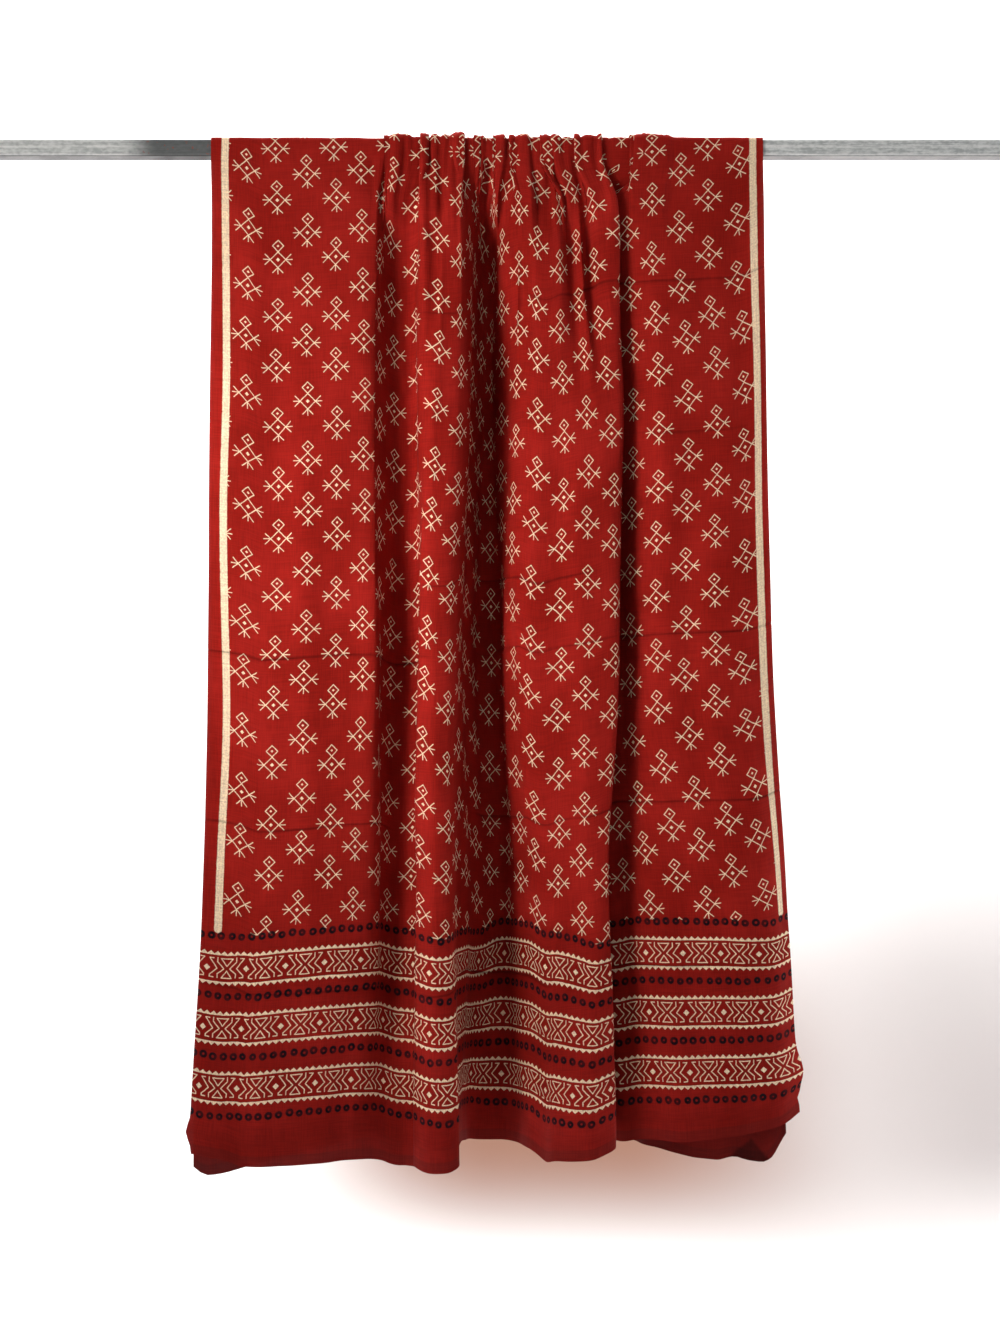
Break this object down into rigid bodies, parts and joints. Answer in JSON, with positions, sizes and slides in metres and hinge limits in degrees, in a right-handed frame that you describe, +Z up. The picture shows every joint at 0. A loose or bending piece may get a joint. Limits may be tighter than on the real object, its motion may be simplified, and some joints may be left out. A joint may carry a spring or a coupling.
{
  "type": "printed dupatta on a rail",
  "caption": "Long block-printed cotton dupatta, folded in half over a square steel rail, hanging flat at the sides with gathered folds in the middle.",
  "frame": {"origin": "centre of the rail's left end face, as seen from the front fall", "axes": "+X runs along the rail, +Z is up, and the front fall hangs on the -Y side"},
  "size_m": [1.36, 0.1734, 1.2651],
  "materials": {
    "cotton": "thin madder-red cotton with cream and blue-black block print, matt",
    "steel": "worn square steel tube, satin with fine streaks"
  },
  "bodies": {
    "root": {"dupatta": "cotton", "rail": "steel"}
  },
  "joints": []
}
